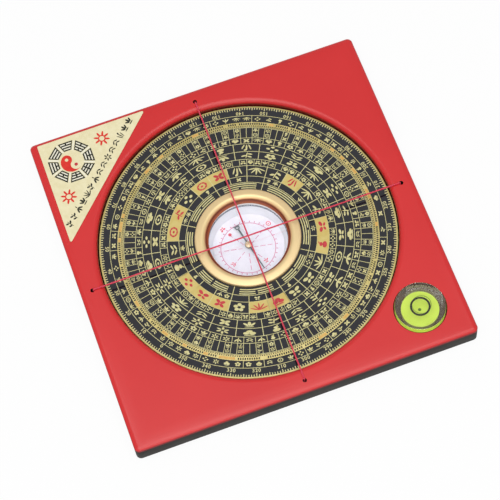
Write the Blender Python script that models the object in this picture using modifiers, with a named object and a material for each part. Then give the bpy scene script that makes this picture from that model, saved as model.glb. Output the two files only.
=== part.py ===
"""A feng shui compass: a lacquered square board, a turning dial with a compass capsule at its middle,
a bullseye level and two crossed threads. Blender 4.5, metres, +Z up.

The origin is on the underside, under the middle of the board. +Y points to the side with the label.
"""

import math

import bmesh
import bpy

# Clearances that the whole object shares
GLUE_GAP = 0.0001
RUN_GAP = 0.0003
CUT_OVERRUN = 0.001
WELD = 0.000001

# The square block and its panel. The rim is the least width of board beside the well.
BOARD_RIM = 0.00785
BOARD_CORNER_R = 0.0016
WELL_FLOOR = 0.0012
PANEL_THICK = 0.0010
PANEL_CROWN = 0.0007
PANEL_CORNER_R = 0.0001
LIP_R = 0.0007

# The dial
DIAL_R = 0.0468
DIAL_DISC_THICK = 0.0031
DISC_CHAMFER = 0.0003
WELL_CLEARANCE = 0.00035
FACE_THICK = 0.0002
FACE_RIM_DEPTH = 0.0012

# The bezel, whose window shows the capsule and a little beside it
BEZEL_REVEAL = 0.00021
BEZEL_WIDTH = 0.00342
BEZEL_RISE = 0.0013
BEZEL_INNER_RISE = 0.0005

# The capsule, which sits a little off the dial's middle
CAPSULE_X = -0.0003
CAPSULE_Y = -0.00095
CAPSULE_R = 0.0131
CAPSULE_FLOOR = 0.0004
CAPSULE_LIFT = 0.0003
RIM_LAND = 0.0003
LEDGE = 0.00035
CUP_TAPER = 0.00115
LENS_THICK = 0.00045
GASKET_THICK = 0.0002
HOLE_CLEARANCE = 0.0005

# The card and the pivot pin
CARD_THICK = 0.00015
CARD_MARGIN = 0.0001
PIN_FOOT_R = 0.0008
PIN_FOOT_THICK = 0.0003
PIN_R = 0.00028
PIN_POINT = 0.0006

# The needle and its cap, which hang clear of the lens. The horn's turn and half spread are in degrees from the
# blade's right side.
NEEDLE_DROP = 0.0014
NEEDLE_ANGLE = math.radians(11.7)
NEEDLE_HEAD = 0.0069
NEEDLE_TAIL = 0.0096
NEEDLE_THICK = 0.00024
NEEDLE_WIDTH = 0.0005
NEEDLE_TAIL_WIDTH = 0.0003
NEEDLE_HUB_R = 0.0012
NEEDLE_EYE_R = 0.0007
HEAD_RING_R = 0.00078
HEAD_RING_HOLE_R = 0.00042
HORN = 0.0006
HORN_TURN = 38
HORN_SPREAD = 19
CAP_R = 0.0011
CAP_TOP_R = 0.0003
CAP_RISE = 0.0006
CAP_LIP = 0.0001
CAP_NECK_R = 0.0006
CAP_SEAT_R = 0.00046

# The thread, its holes and its knots. The threads cross a little on the near side of the board's middle.
CROSSING_Y = -0.0004
THREAD_R = 0.00025
THREAD_OVER_BEZEL = 0.0009
HOLE_R = 0.00066
HOLE_INSET = 0.0039
KNOT_R = 0.0009
KNOT_RECESS_R = 0.0018
KNOT_RECESS_DEPTH = 0.0026

# The bullseye level, with a wall between it and the well. Its turn is in degrees, from +X.
LEVEL_R = 0.00785
LEVEL_WALL = 0.0028
LEVEL_TURN = -45.7
LEVEL_FIT = 0.00015
LEVEL_FLOOR = 0.0012
LEVEL_PROUD = 0.0016
LEVEL_EDGE_R = 0.0003
VIAL_WALL = 0.00225
VIAL_WINDOW = 0.0008
PLUG_THICK = 0.0034
BUBBLE_R = 0.0029
BUBBLE_DEPTH = 0.0006
BUBBLE_X = 0.0006
BUBBLE_Y = 0.0005

# The label on the corner
LABEL_LEG = 0.0364
LABEL_INSET_X = 0.0024
LABEL_INSET_Y = 0.0014
LABEL_THICK = 0.00015
LABEL_CORNER_R = 0.0004

# Heights above the underside, stacked from the well's floor up
DISC_BOTTOM = WELL_FLOOR + RUN_GAP
DISC_TOP = DISC_BOTTOM + DIAL_DISC_THICK
FACE_BOTTOM = DISC_TOP + GLUE_GAP
FACE_TOP = FACE_BOTTOM + FACE_THICK
BEZEL_BOTTOM = FACE_TOP + GLUE_GAP
BEZEL_TOP = BEZEL_BOTTOM + BEZEL_RISE
PANEL_TOP = BEZEL_TOP + THREAD_OVER_BEZEL
PANEL_BOTTOM = PANEL_TOP - PANEL_THICK
BASE_TOP = PANEL_BOTTOM - GLUE_GAP

# Heights inside the capsule, stacked from both ends
CUP_FLOOR = CAPSULE_LIFT + CAPSULE_FLOOR
CARD_BOTTOM = CUP_FLOOR + GLUE_GAP
CARD_TOP = CARD_BOTTOM + CARD_THICK
CUP_TOP = FACE_TOP - GLUE_GAP
LENS_BOTTOM = CUP_TOP - LENS_THICK
GASKET_TOP = LENS_BOTTOM - GLUE_GAP
GASKET_BOTTOM = GASKET_TOP - GASKET_THICK
LEDGE_TOP = GASKET_BOTTOM - GLUE_GAP
CAP_TOP = LENS_BOTTOM - NEEDLE_DROP
CAP_BOTTOM = CAP_TOP - CAP_RISE
NEEDLE_TOP = CAP_BOTTOM - GLUE_GAP
NEEDLE_Z = NEEDLE_TOP - NEEDLE_THICK / 2

# Radii and places that follow from what sits inside them
WELL_R = DIAL_R + WELL_CLEARANCE
BOARD_SIDE = 2 * (WELL_R + BOARD_RIM)
PANEL_SHOULDER = BOARD_CORNER_R - PANEL_CORNER_R
BEZEL_WINDOW_R = CAPSULE_R + BEZEL_REVEAL
BEZEL_OUTER_R = BEZEL_WINDOW_R + BEZEL_WIDTH
CAPSULE_OFFSET = math.hypot(CAPSULE_X, CAPSULE_Y)
BORE_R = CAPSULE_R + CAPSULE_OFFSET + GLUE_GAP
BOARD_HOLE_R = BORE_R + HOLE_CLEARANCE
REBATE_R = CAPSULE_R - RIM_LAND
LEDGE_R = REBATE_R - LEDGE
CAPSULE_FLOOR_R = LEDGE_R - CUP_TAPER
LENS_R = REBATE_R - GLUE_GAP
LEVEL_POCKET_R = LEVEL_R + LEVEL_FIT
LEVEL_REACH = WELL_R + LIP_R + LEVEL_WALL + LEVEL_POCKET_R
LEVEL_X = LEVEL_REACH * math.cos(math.radians(LEVEL_TURN))
LEVEL_Y = LEVEL_REACH * math.sin(math.radians(LEVEL_TURN))
VIAL_BORE_R = LEVEL_R - VIAL_WALL

# How finely the round shapes are divided
STEPS_LARGE = 96
STEPS_MEDIUM = 64
STEPS_SMALL = 32
STEPS_TINY = 16
ARC_STEPS = 4
SHOULDER_STEPS = 4


def clear_scene():
    for obj in list(bpy.data.objects):
        bpy.data.objects.remove(obj, do_unlink=True)


def new_collection(name):
    collection = bpy.data.collections.new(name)
    bpy.context.scene.collection.children.link(collection)
    return collection


def linear(hex_colour):
    """An sRGB colour such as D34042 as the linear values that a shader takes, at a gamma of 2.2."""
    return [(int(hex_colour[i : i + 2], 16) / 255) ** 2.2 for i in (0, 2, 4)]


def material(name, hex_colour, roughness, metallic=0.0, transmission=0.0):
    made = bpy.data.materials.new(name)
    made.use_nodes = True
    shader = made.node_tree.nodes["Principled BSDF"]
    shader.inputs["Base Color"].default_value = (*linear(hex_colour), 1.0)
    shader.inputs["Roughness"].default_value = roughness
    shader.inputs["Metallic"].default_value = metallic
    shader.inputs["Transmission Weight"].default_value = transmission
    return made


def axis_empty(name, location, turn=0.0, parent=None):
    empty = bpy.data.objects.new(name, None)
    PARTS.objects.link(empty)
    empty.location = location
    empty.rotation_euler.z = turn
    empty.parent = parent
    return empty


def add_object(name, data, finish, parent=None, location=(0, 0, 0)):
    """A sub-part in the parts collection, at a place that is measured from its parent."""
    obj = bpy.data.objects.new(name, data)
    PARTS.objects.link(obj)
    obj.data.materials.append(finish)
    obj.location = location
    obj.parent = parent
    return obj


def frozen_mesh(obj):
    """The mesh that an object's curve or modifiers make, with its loose seams welded."""
    bpy.context.view_layer.update()
    depsgraph = bpy.context.evaluated_depsgraph_get()
    mesh = bpy.data.meshes.new_from_object(obj.evaluated_get(depsgraph))
    bm = bmesh.new()
    bm.from_mesh(mesh)
    bmesh.ops.remove_doubles(bm, verts=bm.verts, dist=WELD)
    bm.to_mesh(mesh)
    bm.free()
    mesh.shade_smooth()
    mesh.set_sharp_from_angle(angle=math.radians(35))
    return mesh


def turned_mesh(name, profile, steps, ring=False):
    """A solid of revolution. The profile is (radius, height) pairs that run down the outer side.

    A ring's profile closes on itself, and any other starts and ends on the axis.
    """
    mesh = bpy.data.meshes.new(name)
    edges = [(i, i + 1) for i in range(len(profile) - 1)]
    if ring:
        edges.append((len(profile) - 1, 0))
    mesh.from_pydata([(radius, 0, height) for radius, height in profile], edges, [])
    blank = bpy.data.objects.new(name, mesh)
    PARTS.objects.link(blank)
    screw = blank.modifiers.new("Turn", "SCREW")
    screw.steps = steps
    screw.render_steps = steps
    screw.use_merge_vertices = True
    screw.merge_threshold = WELD
    turned = frozen_mesh(blank)
    turned.name = name
    bpy.data.objects.remove(blank, do_unlink=True)
    return turned


def on_circle(centre, radius, degrees):
    turn = math.radians(degrees)
    return (centre[0] + radius * math.cos(turn), centre[1] + radius * math.sin(turn))


def arc(centre, radius, start, end, steps=ARC_STEPS):
    """Points on an arc, from one angle in degrees to the other, both ends included."""
    return [on_circle(centre, radius, start + (end - start) * i / steps) for i in range(steps + 1)]


def cylinder_profile(radius, bottom, top):
    return [(0, top), (radius, top), (radius, bottom), (0, bottom)]


def flat_plate(name, outlines, bottom, thickness, finish, parent=None):
    """A plate cut from sheet. The first outline is its edge and the others are its holes."""
    curve = bpy.data.curves.new(name, "CURVE")
    curve.dimensions = "2D"
    curve.fill_mode = "BOTH"
    curve.extrude = thickness / 2
    for outline in outlines:
        spline = curve.splines.new("POLY")
        spline.points.add(len(outline) - 1)
        for point, (x, y) in zip(spline.points, outline):
            point.co = (x, y, 0, 1)
        spline.use_cyclic_u = True
    return add_object(name, curve, finish, parent, (0, 0, bottom + thickness / 2))


def raise_shoulder(bm, top):
    """Raises a block's top face by the panel's crown, over a shoulder that is a quarter of an ellipse."""
    face = [f for f in bm.faces if min(v.co.z for v in f.verts) > top - WELD]
    turns = [math.pi / 2 * i / SHOULDER_STEPS for i in range(SHOULDER_STEPS + 1)]
    for low, high in zip(turns, turns[1:]):
        inward = PANEL_SHOULDER * (math.cos(low) - math.cos(high))
        upward = PANEL_CROWN * (math.sin(high) - math.sin(low))
        bmesh.ops.inset_region(bm, faces=face, thickness=inward, depth=upward, use_even_offset=True)


def rounded_block(name, bottom, top, crown=0.0):
    """A square block with rounded corners, whose top edge falls away where it has a crown."""
    top -= crown
    bm = bmesh.new()
    bmesh.ops.create_cube(bm, size=1)
    bmesh.ops.scale(bm, vec=(BOARD_SIDE, BOARD_SIDE, top - bottom), verts=bm.verts)
    bmesh.ops.translate(bm, vec=(0, 0, (top + bottom) / 2), verts=bm.verts)
    upright = [e for e in bm.edges if e.verts[0].co.z != e.verts[1].co.z]
    bmesh.ops.bevel(
        bm, geom=upright, offset=BOARD_CORNER_R, segments=6, profile=0.5, affect="EDGES", material=-1
    )
    if crown:
        raise_shoulder(bm, top)
    mesh = bpy.data.meshes.new(name)
    bm.to_mesh(mesh)
    bm.free()
    return mesh


def add_cutter(name, mesh, location=(0, 0, 0)):
    cutter = bpy.data.objects.new(name, mesh)
    CUTTERS.objects.link(cutter)
    cutter.location = location
    cutter.hide_render = True
    cutter.display_type = "WIRE"
    return cutter


def cut(obj, cutter):
    boolean = obj.modifiers.new(cutter.name, "BOOLEAN")
    boolean.operation = "DIFFERENCE"
    boolean.solver = "EXACT"
    boolean.object = cutter


def thread_hole_places():
    y = CROSSING_Y
    reach = BOARD_SIDE / 2 - HOLE_INSET
    return {"n": (0, y + reach), "e": (reach, y), "s": (0, y - reach), "w": (-reach, y)}


def thread_hole_cutters():
    """A through hole with a wide recess below, which takes the knot."""
    profile = [
        (0, PANEL_TOP + CUT_OVERRUN),
        (HOLE_R, PANEL_TOP + CUT_OVERRUN),
        (HOLE_R, KNOT_RECESS_DEPTH),
        (KNOT_RECESS_R, KNOT_RECESS_DEPTH),
        (KNOT_RECESS_R, -CUT_OVERRUN),
        (0, -CUT_OVERRUN),
    ]
    mesh = turned_mesh("thread_hole", profile, STEPS_TINY)
    return [
        add_cutter("thread_hole_" + side, mesh, (x, y, 0)) for side, (x, y) in thread_hole_places().items()
    ]


def level_pocket_cutter():
    profile = cylinder_profile(LEVEL_POCKET_R, LEVEL_FLOOR, PANEL_TOP + CUT_OVERRUN)
    mesh = turned_mesh("level_pocket", profile, STEPS_MEDIUM)
    return add_cutter("level_pocket", mesh, (LEVEL_X, LEVEL_Y, 0))


def make_base_board(shared_cutters):
    base = add_object("base_board", rounded_block("base_board", 0, BASE_TOP), BLACK_PAINT)
    well = cylinder_profile(WELL_R, WELL_FLOOR, PANEL_TOP)
    hole = cylinder_profile(BOARD_HOLE_R, -CUT_OVERRUN, WELL_FLOOR + CUT_OVERRUN)
    cut(base, add_cutter("well", turned_mesh("well", well, STEPS_LARGE)))
    cut(base, add_cutter("push_out_hole", turned_mesh("push_out_hole", hole, STEPS_MEDIUM)))
    for cutter in shared_cutters:
        cut(base, cutter)


def make_top_panel(shared_cutters):
    block = rounded_block("top_panel", PANEL_BOTTOM, PANEL_TOP, PANEL_CROWN)
    panel = add_object("top_panel", block, RED_LACQUER)
    lip = arc((WELL_R + LIP_R, PANEL_TOP - LIP_R), LIP_R, 90, 180)
    window = [(0, PANEL_TOP + CUT_OVERRUN), (WELL_R + LIP_R, PANEL_TOP + CUT_OVERRUN)]
    window += lip + [(WELL_R, PANEL_BOTTOM - CUT_OVERRUN), (0, PANEL_BOTTOM - CUT_OVERRUN)]
    cut(panel, add_cutter("window", turned_mesh("window", window, STEPS_LARGE)))
    for cutter in shared_cutters:
        cut(panel, cutter)


def make_label():
    """A right triangle of paper whose legs run along the panel's edges."""
    left = -BOARD_SIDE / 2 + LABEL_INSET_X
    far = BOARD_SIDE / 2 - LABEL_INSET_Y
    r = LABEL_CORNER_R
    pull = r / math.tan(math.radians(22.5))
    outline = arc((left + r, far - r), r, 180, 90)
    outline += arc((left + LABEL_LEG - pull, far - r), r, 90, -45)
    outline += arc((left + r, far - LABEL_LEG + pull), r, -45, -180)
    flat_plate("label_sticker", [outline], PANEL_TOP + GLUE_GAP, LABEL_THICK, PAPER)


def make_dial_disc(parent):
    outer = DIAL_R - FACE_THICK - GLUE_GAP
    c = DISC_CHAMFER
    profile = [
        (BORE_R, DISC_TOP),
        (outer, DISC_TOP),
        (outer, DISC_BOTTOM + c),
        (outer - c, DISC_BOTTOM),
        (BORE_R, DISC_BOTTOM),
    ]
    add_object("dial_disc", turned_mesh("dial_disc", profile, STEPS_LARGE, ring=True), PHENOLIC, parent)


def make_dial_face(parent):
    """A shallow metal pan: a flat printed face with its rim turned down over the disc."""
    outer = arc((DIAL_R - FACE_THICK, FACE_TOP - FACE_THICK), FACE_THICK, 90, 0, 3)
    profile = [(BORE_R, FACE_TOP)] + outer
    profile += [
        (DIAL_R, FACE_TOP - FACE_RIM_DEPTH),
        (DIAL_R - FACE_THICK, FACE_TOP - FACE_RIM_DEPTH),
        (DIAL_R - FACE_THICK, FACE_BOTTOM),
        (BORE_R, FACE_BOTTOM),
    ]
    add_object("dial_face", turned_mesh("dial_face", profile, STEPS_LARGE, ring=True), GOLD_SHEET, parent)


def bezel_profile():
    """A quarter round on the outside, then a gentle fall to the window's edge."""
    round_r = min(BEZEL_RISE, BEZEL_WIDTH / 2)
    crest_r = BEZEL_OUTER_R - round_r
    profile = []
    for i in range(ARC_STEPS + 1):
        t = i / ARC_STEPS
        fall = (1 - math.cos(math.pi * (1 - t))) / 2
        height = BEZEL_BOTTOM + BEZEL_RISE + (BEZEL_INNER_RISE - BEZEL_RISE) * fall
        profile.append((BEZEL_WINDOW_R + (crest_r - BEZEL_WINDOW_R) * t, height))
    outer = arc((crest_r, BEZEL_TOP - round_r), round_r, 90, 0)
    profile += outer[1:]
    if round_r < BEZEL_RISE:
        profile.append((BEZEL_OUTER_R, BEZEL_BOTTOM))
    return profile + [(BEZEL_WINDOW_R, BEZEL_BOTTOM)]


def make_bezel_ring(parent):
    mesh = turned_mesh("bezel_ring", bezel_profile(), STEPS_MEDIUM, ring=True)
    add_object("bezel_ring", mesh, BRASS, parent)


def make_capsule_cup(parent, place):
    """A white dish with sloping walls, and a ledge under its rim for the gasket and the lens."""
    profile = [
        (0, CUP_FLOOR),
        (CAPSULE_FLOOR_R, CUP_FLOOR),
        (LEDGE_R, LEDGE_TOP),
        (REBATE_R, LEDGE_TOP),
        (REBATE_R, CUP_TOP),
        (CAPSULE_R, CUP_TOP),
        (CAPSULE_R, CAPSULE_LIFT),
        (0, CAPSULE_LIFT),
    ]
    add_object("capsule_cup", turned_mesh("capsule_cup", profile, STEPS_MEDIUM), WHITE_PLASTIC, parent, place)


def make_compass_card(parent, place):
    hole = PIN_FOOT_R + GLUE_GAP
    edge = CAPSULE_FLOOR_R - CARD_MARGIN
    profile = [(hole, CARD_TOP), (edge, CARD_TOP), (edge, CARD_BOTTOM), (hole, CARD_BOTTOM)]
    mesh = turned_mesh("compass_card", profile, STEPS_MEDIUM, ring=True)
    add_object("compass_card", mesh, WHITE_PAPER, parent, place)


def make_capsule_window(parent, place):
    """The clear lens, and the thin gasket under its edge."""
    gasket = [
        (LEDGE_R, GASKET_TOP),
        (LENS_R, GASKET_TOP),
        (LENS_R, GASKET_BOTTOM),
        (LEDGE_R, GASKET_BOTTOM),
    ]
    gasket_mesh = turned_mesh("lens_gasket", gasket, STEPS_MEDIUM, ring=True)
    add_object("lens_gasket", gasket_mesh, GREY_RUBBER, parent, place)
    lens = cylinder_profile(LENS_R, LENS_BOTTOM, CUP_TOP)
    add_object("compass_lens", turned_mesh("compass_lens", lens, STEPS_MEDIUM), CLEAR, parent, place)


def cap_seat_apex():
    """The height of the point inside the cap that rides on the pin."""
    return CAP_TOP - CAP_TOP_R


def make_pivot_pin(parent, place):
    foot = CARD_BOTTOM
    tip = cap_seat_apex() - GLUE_GAP
    profile = [
        (0, tip),
        (PIN_R, tip - PIN_POINT),
        (PIN_R, foot + PIN_FOOT_THICK),
        (PIN_FOOT_R, foot + PIN_FOOT_THICK),
        (PIN_FOOT_R, foot),
        (0, foot),
    ]
    add_object("pivot_pin", turned_mesh("pivot_pin", profile, STEPS_TINY), BRASS, parent, place)


def needle_outline():
    """The edge of the blade, from the tail up the right side and back down the left one."""
    half = NEEDLE_WIDTH / 2
    tail_half = NEEDLE_TAIL_WIDTH / 2
    hub_turn = math.degrees(math.asin(half / NEEDLE_HUB_R))
    ring_turn = math.degrees(math.asin(half / HEAD_RING_R))
    head = (0, NEEDLE_HEAD)
    right = [(tail_half, -NEEDLE_TAIL)]
    right += arc((0, 0), NEEDLE_HUB_R, -90 + hub_turn, 90 - hub_turn, 2 * ARC_STEPS)
    right += arc(head, HEAD_RING_R, -90 + ring_turn, HORN_TURN - HORN_SPREAD, 2 * ARC_STEPS)
    right.append(on_circle(head, HEAD_RING_R + HORN, HORN_TURN))
    right += arc(head, HEAD_RING_R, HORN_TURN + HORN_SPREAD, 90)
    left = [(-x, y) for x, y in reversed(right[:-1])]
    return right + left


def make_needle(parent):
    eye = arc((0, 0), NEEDLE_EYE_R, 360, 0, STEPS_TINY)[:-1]
    ring_hole = arc((0, NEEDLE_HEAD), HEAD_RING_HOLE_R, 360, 0, 2 * ARC_STEPS)[:-1]
    outlines = [needle_outline(), eye, ring_hole]
    flat_plate("needle_blade", outlines, -NEEDLE_THICK / 2, NEEDLE_THICK, BLUED_STEEL, parent)


def make_needle_cap(parent):
    """A small brass cone with a neck through the blade's eye and a conical seat for the pin."""
    base = CAP_BOTTOM - NEEDLE_Z
    top = CAP_TOP - NEEDLE_Z
    mouth = -NEEDLE_THICK / 2 - GLUE_GAP
    profile = [
        (0, top),
        (CAP_TOP_R, top),
        (CAP_R, base + CAP_LIP),
        (CAP_R, base),
        (CAP_NECK_R, base),
        (CAP_NECK_R, mouth),
        (CAP_SEAT_R, mouth),
        (0, cap_seat_apex() - NEEDLE_Z),
    ]
    add_object("needle_cap", turned_mesh("needle_cap", profile, STEPS_TINY), BRASS, parent)


def make_level(place):
    """A clear vial with its window on top, filled from below and closed by a plug."""
    bottom = LEVEL_FLOOR + GLUE_GAP
    top = PANEL_TOP + LEVEL_PROUD
    plug_top = bottom + PLUG_THICK
    window_bottom = top - VIAL_WINDOW
    vial = [(0, top)]
    vial += arc((LEVEL_R - LEVEL_EDGE_R, top - LEVEL_EDGE_R), LEVEL_EDGE_R, 90, 0, 3)
    vial += [(LEVEL_R, bottom), (VIAL_BORE_R, bottom), (VIAL_BORE_R, window_bottom), (0, window_bottom)]
    add_object("level_vial", turned_mesh("level_vial", vial, STEPS_MEDIUM), CLEAR, None, place)
    fill_r = VIAL_BORE_R - GLUE_GAP
    plug = turned_mesh("level_plug", cylinder_profile(fill_r, bottom, plug_top), STEPS_SMALL)
    add_object("level_plug", plug, WHITE_PLASTIC, None, place)
    liquid = cylinder_profile(fill_r, plug_top + GLUE_GAP, window_bottom - GLUE_GAP)
    filling = add_object(
        "level_liquid", turned_mesh("level_liquid", liquid, STEPS_MEDIUM), GREEN_LIQUID, None, place
    )
    surface = window_bottom - GLUE_GAP
    cut(filling, bubble_cutter(place, surface))


def bubble_cutter(place, surface):
    """A flat-bottomed bowl that hangs from the liquid's surface, where the bubble rests."""
    profile = [(0, surface + CUT_OVERRUN), (BUBBLE_R, surface + CUT_OVERRUN)]
    for degrees in (0, 30, 60):
        turn = math.radians(degrees)
        profile.append((BUBBLE_R * math.cos(turn), surface - BUBBLE_DEPTH * math.sin(turn)))
    profile.append((0, surface - BUBBLE_DEPTH))
    mesh = turned_mesh("bubble", profile, STEPS_SMALL)
    return add_cutter("bubble", mesh, (place[0] + BUBBLE_X, place[1] + BUBBLE_Y, 0))


def thread_half_route(crest):
    """Half a thread as (distance from the middle, height, radius): knot, hole, panel, crossing."""
    bend_r = THREAD_R + GLUE_GAP
    hole = BOARD_SIDE / 2 - HOLE_INSET
    edge = hole - HOLE_R
    inside = edge + bend_r
    laid = PANEL_TOP + bend_r
    knot_z = KNOT_RECESS_DEPTH - KNOT_R - GLUE_GAP
    route = []
    for degrees in (-72, -45, -15, 15, 45, 66):
        turn = math.radians(degrees)
        route.append((inside, knot_z + KNOT_R * math.sin(turn), KNOT_R * math.cos(turn)))
    route.append((inside, knot_z + KNOT_R, THREAD_R))
    route += [(x, z, THREAD_R) for x, z in arc((edge, PANEL_TOP), bend_r, 0, 90)]
    route.append((WELL_R + LIP_R, laid, THREAD_R))
    route.append((BEZEL_WINDOW_R, laid + crest * (1 - BEZEL_WINDOW_R / WELL_R), THREAD_R))
    route.append((2 * THREAD_R, laid + crest, THREAD_R))
    return route


def make_thread(name, direction, crest):
    """One thread from knot to knot. The crest lifts it over the thread that it crosses."""
    half = thread_half_route(crest)
    route = half + [(-x, z, radius) for x, z, radius in reversed(half)]
    curve = bpy.data.curves.new(name, "CURVE")
    curve.dimensions = "3D"
    curve.bevel_depth = THREAD_R
    curve.bevel_resolution = 2
    curve.use_fill_caps = True
    spline = curve.splines.new("POLY")
    spline.points.add(len(route) - 1)
    for point, (along, height, radius) in zip(spline.points, route):
        point.co = (along * direction[0], along * direction[1], height, 1)
        point.radius = radius / THREAD_R
    add_object(name, curve, RED_THREAD, None, (0, CROSSING_Y, 0))


clear_scene()
PARTS = new_collection("feng_shui_compass")
CUTTERS = new_collection("cutters")
CUTTERS.hide_render = True

RED_LACQUER = material("red_lacquer", "D34042", 0.3)
BLACK_PAINT = material("black_paint", "3A3C3C", 0.5)
PAPER = material("cream_paper", "EBDDAB", 0.7)
PHENOLIC = material("brown_phenolic", "6A3622", 0.4)
GOLD_SHEET = material("gold_sheet", "C9B25A", 0.35, metallic=0.6)
BRASS = material("brass", "E4C27E", 0.25, metallic=1.0)
WHITE_PLASTIC = material("white_plastic", "E8EAF2", 0.4)
WHITE_PAPER = material("white_card", "F2EEF4", 0.6)
GREY_RUBBER = material("grey_rubber", "6E7078", 0.6)
CLEAR = material("clear_acrylic", "FFFFFF", 0.05, transmission=1.0)
BLUED_STEEL = material("blued_steel", "3B4046", 0.35, metallic=0.9)
GREEN_LIQUID = material("green_liquid", "C8E85A", 0.1, transmission=0.8)
RED_THREAD = material("red_thread", "D8304A", 0.6)

through_cutters = [level_pocket_cutter()] + thread_hole_cutters()
make_base_board(through_cutters)
make_top_panel(through_cutters)
make_label()

dial_axis = axis_empty("dial_axis", (0, 0, 0))
capsule_place = (CAPSULE_X, CAPSULE_Y, 0)
make_dial_disc(dial_axis)
make_dial_face(dial_axis)
make_bezel_ring(dial_axis)
make_capsule_cup(dial_axis, capsule_place)
make_compass_card(dial_axis, capsule_place)
make_capsule_window(dial_axis, capsule_place)
make_pivot_pin(dial_axis, capsule_place)

needle_axis = axis_empty("needle_axis", (CAPSULE_X, CAPSULE_Y, NEEDLE_Z), NEEDLE_ANGLE, dial_axis)
make_needle(needle_axis)
make_needle_cap(needle_axis)

make_level((LEVEL_X, LEVEL_Y, 0))
make_thread("thread_ew", (1, 0), 0)
make_thread("thread_ns", (0, 1), 2 * THREAD_R + GLUE_GAP)
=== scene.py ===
"""The looks of a feng shui compass: a red lacquered board, a printed dial that turns in it, a compass
capsule at the dial's middle, a bullseye level and two crossed threads. Blender 4.5, metres, +Z up, in the
frame of the solids.
"""

import itertools
import math
import random

import bmesh
import bpy
from mathutils import Matrix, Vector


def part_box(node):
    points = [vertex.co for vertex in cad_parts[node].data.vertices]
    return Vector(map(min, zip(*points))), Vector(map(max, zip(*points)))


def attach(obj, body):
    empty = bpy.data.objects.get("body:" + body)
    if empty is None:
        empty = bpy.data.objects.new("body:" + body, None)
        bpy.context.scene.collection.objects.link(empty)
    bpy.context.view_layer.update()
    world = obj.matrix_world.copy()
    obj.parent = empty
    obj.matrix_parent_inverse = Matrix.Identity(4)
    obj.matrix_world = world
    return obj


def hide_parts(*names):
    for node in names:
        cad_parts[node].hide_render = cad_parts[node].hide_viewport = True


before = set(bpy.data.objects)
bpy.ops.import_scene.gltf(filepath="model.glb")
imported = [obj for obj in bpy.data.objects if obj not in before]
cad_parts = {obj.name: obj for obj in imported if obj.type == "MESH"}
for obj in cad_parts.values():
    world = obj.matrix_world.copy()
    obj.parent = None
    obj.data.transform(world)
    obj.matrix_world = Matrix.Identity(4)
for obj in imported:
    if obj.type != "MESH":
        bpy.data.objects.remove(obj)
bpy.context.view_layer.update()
MM = 0.001


# The camera stands at the near side, a little to the left, and looks down at 65 degrees from 0.6 m.
# Its place, its three angles and its lens were fitted to the board's four corners in the photograph.
def add_object(name, data):
    """A new object, linked to the scene."""
    made = bpy.data.objects.new(name, data)
    bpy.context.scene.collection.objects.link(made)
    return made


camera_data = bpy.data.cameras.new("camera")
camera_data.sensor_width = 36
camera_data.lens = 140.2
camera_data.clip_start = 0.01
camera = add_object("camera", camera_data)
camera.location = (-0.053756, -0.250952, 0.556489)
camera.rotation_euler = [math.radians(angle) for angle in (24.3768, 3.4086, -19.5862)]
bpy.context.scene.camera = camera
bpy.context.scene.view_settings.view_transform = "Standard"


# The studio: a white sweep under the board, a pale room that is darker low down, one large soft box overhead,
# and a small one low at the front that lights the near side, the near shoulder and the well's far lip.
def linear(hex_colour):
    """An sRGB hex colour as the linear values that a shader takes."""
    values = []
    for i in (0, 2, 4):
        share = int(hex_colour[i : i + 2], 16) / 255
        values.append(share / 12.92 if share <= 0.04045 else ((share + 0.055) / 1.055) ** 2.4)
    return (*values, 1.0)


def add_node(tree, kind, settings=None, inputs=None):
    """A node with its settings, and its inputs set to values or linked to other nodes' outputs."""
    node = tree.nodes.new(kind)
    for name, value in (settings or {}).items():
        setattr(node, name, value)
    for socket, value in (inputs or {}).items():
        if isinstance(value, bpy.types.NodeSocket):
            tree.links.new(value, node.inputs[socket])
        else:
            node.inputs[socket].default_value = value
    return node


def seen_directly(tree):
    """One where the camera sees a surface, also through glass or mirrored, and nought for its light."""
    path = add_node(tree, "ShaderNodeLightPath")
    total = path.outputs["Is Camera Ray"]
    for kind in ("Is Transmission Ray", "Is Glossy Ray"):
        add = {"operation": "ADD", "use_clamp": True}
        total = add_node(tree, "ShaderNodeMath", add, {0: total, 1: path.outputs[kind]}).outputs[0]
    less = {"operation": "SUBTRACT", "use_clamp": True}
    return add_node(tree, "ShaderNodeMath", less, {0: total, 1: path.outputs["Diffuse Depth"]}).outputs[0]


def blend_surface(tree, share, first, second):
    """Shows one shader where a share is nought and another where it is one."""
    mixed = add_node(tree, "ShaderNodeMixShader", inputs={0: share, 1: first, 2: second})
    tree.links.new(mixed.outputs[0], tree.nodes["Material Output"].inputs["Surface"])


SKY_LOW = 0.15
SKY_HIGH = 0.5
world = bpy.data.worlds.new("pale_room")
bpy.context.scene.world = world
world.use_nodes = True
tree = world.node_tree
heading = add_node(tree, "ShaderNodeTexCoord").outputs["Generated"]
height = add_node(tree, "ShaderNodeSeparateXYZ", inputs={0: heading}).outputs["Z"]
fill = add_node(tree, "ShaderNodeMapRange", inputs={"Value": height, "To Min": SKY_LOW, "To Max": SKY_HIGH})
seen = {"Value": seen_directly(tree), "To Min": fill.outputs[0], "To Max": 1.0}
strength = add_node(tree, "ShaderNodeMapRange", inputs=seen)
background = tree.nodes["Background"]
background.inputs["Color"].default_value = (1, 1, 1, 1)
tree.links.new(strength.outputs[0], background.inputs["Strength"])

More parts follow.
